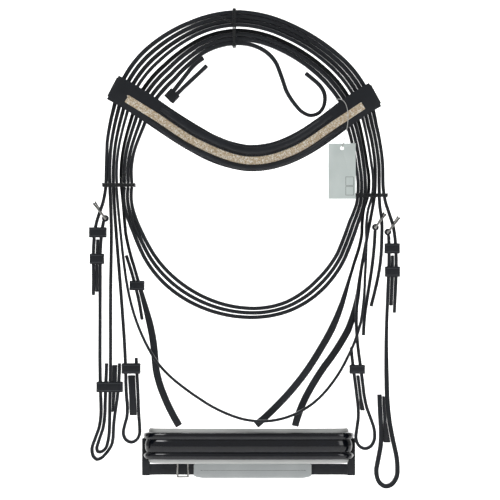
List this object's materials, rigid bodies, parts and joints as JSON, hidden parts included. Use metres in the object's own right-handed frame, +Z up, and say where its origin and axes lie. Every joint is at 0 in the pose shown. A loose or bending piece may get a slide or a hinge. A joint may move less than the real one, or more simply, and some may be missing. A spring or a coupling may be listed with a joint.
{
  "type": "snaffle bridle",
  "caption": "Black leather horse bridle hung by its crown, with a curved crystal browband, padded patent noseband, coiled reins, bit loops and a plain swing tag.",
  "frame": {"origin": "inner top of the crown, where a tack bracket carries the bridle, on the middle of the strap width", "axes": "+Z up, +X to the right seen from the browband side, +Y from the browband towards the jaw strap"},
  "size_m": [0.3887, 0.0854, 0.5995],
  "materials": {
    "black_leather": "dyed, semi-matt",
    "patent_leather": "high gloss patent",
    "white_padding": "soft matt",
    "crystals": "faceted, champagne",
    "nickel": "polished",
    "tie_wire": "coated wire",
    "tag_card": "satin card",
    "tag_thread": "clear filament"
  },
  "bodies": {
    "root": {"bit_rein": "black_leather", "browband": "black_leather", "browband_lower_roll": "black_leather", "browband_upper_roll": "black_leather", "chin_pad": "white_padding", "crown_tie": "tie_wire", "crystal_strip": "crystals", "headpiece": "black_leather", "jaw_buckle": "nickel", "jaw_strap": "black_leather", "left_billet_filler": "black_leather", "left_bit_filler": "black_leather", "left_bit_keeper": "black_leather", "left_cheekpiece": "black_leather", "left_hanger_billet": "black_leather", "left_hanger_keeper": "black_leather", "left_jaw_loop": "black_leather", "left_rein_filler": "black_leather", "left_rein_keeper": "black_leather", "left_tie": "tie_wire", "left_upper_keeper": "black_leather", "noseband_front": "patent_leather", "noseband_headstrap": "black_leather", "noseband_padding": "white_padding", "rein_bight": "black_leather", "rein_end": "black_leather", "rein_end_keeper": "black_leather", "rein_tip": "black_leather", "rein_turn_inner": "black_leather", "rein_turn_middle": "black_leather", "rein_turn_outer": "black_leather", "right_billet_filler": "black_leather", "right_bit_filler": "black_leather", "right_cheekpiece": "black_leather", "right_jaw_loop": "black_leather", "right_noseband_hanger": "black_leather", "right_rein_filler": "black_leather", "right_rein_keeper": "black_leather", "right_second_cheek": "black_leather", "right_tie": "tie_wire", "right_upper_keeper": "black_leather", "second_headstrap": "black_leather", "tag_thread": "tag_thread", "throatlatch": "black_leather"},
    "left_buckle": {"left_buckle_frame": "nickel"},
    "left_tongue": {"left_buckle_tongue": "nickel"},
    "right_buckle": {"right_buckle_frame": "nickel"},
    "right_tongue": {"right_buckle_tongue": "nickel"},
    "second_buckle": {"second_buckle_frame": "nickel"},
    "second_tongue": {"second_buckle_tongue": "nickel"},
    "left_keeper": {"left_sliding_keeper": "black_leather"},
    "right_keeper": {"right_sliding_keeper": "black_leather"},
    "tag": {"swing_tag": "tag_card"}
  },
  "joints": [
    {"name": "left_buckle_hinge", "type": "hinge", "parent": "root", "child": "left_buckle", "pos_m": [-0.172, 0, -0.216], "axis": [0, 1, 0], "range_deg": [-8, 8]},
    {"name": "left_tongue_hinge", "type": "hinge", "parent": "left_buckle", "child": "left_tongue", "pos_m": [-0.172, 0, -0.216], "axis": [0, 1, 0], "range_deg": [0, 8]},
    {"name": "right_buckle_hinge", "type": "hinge", "parent": "root", "child": "right_buckle", "pos_m": [0.181, 0, -0.233], "axis": [0, 1, 0], "range_deg": [-8, 8]},
    {"name": "right_tongue_hinge", "type": "hinge", "parent": "right_buckle", "child": "right_tongue", "pos_m": [0.181, 0, -0.233], "axis": [0, 1, 0], "range_deg": [-8, 0]},
    {"name": "second_buckle_hinge", "type": "hinge", "parent": "root", "child": "second_buckle", "pos_m": [0.1655, 0, -0.227], "axis": [0, 1, 0], "range_deg": [-4, 6]},
    {"name": "second_tongue_hinge", "type": "hinge", "parent": "second_buckle", "child": "second_tongue", "pos_m": [0.1655, 0, -0.227], "axis": [0, 1, 0], "range_deg": [-4.5, 0]},
    {"name": "left_keeper_slide", "type": "slide", "parent": "root", "child": "left_keeper", "axis": [0, 0, 1], "range_m": [-0.012, 0.006]},
    {"name": "right_keeper_slide", "type": "slide", "parent": "root", "child": "right_keeper", "axis": [0, 0, 1], "range_m": [-0.008, 0.006]},
    {"name": "tag_swing", "type": "hinge", "parent": "root", "child": "tag", "pos_m": [0.123, -0.033, -0.129], "axis": [0, 1, 0], "range_deg": [-20, 20]}
  ]
}
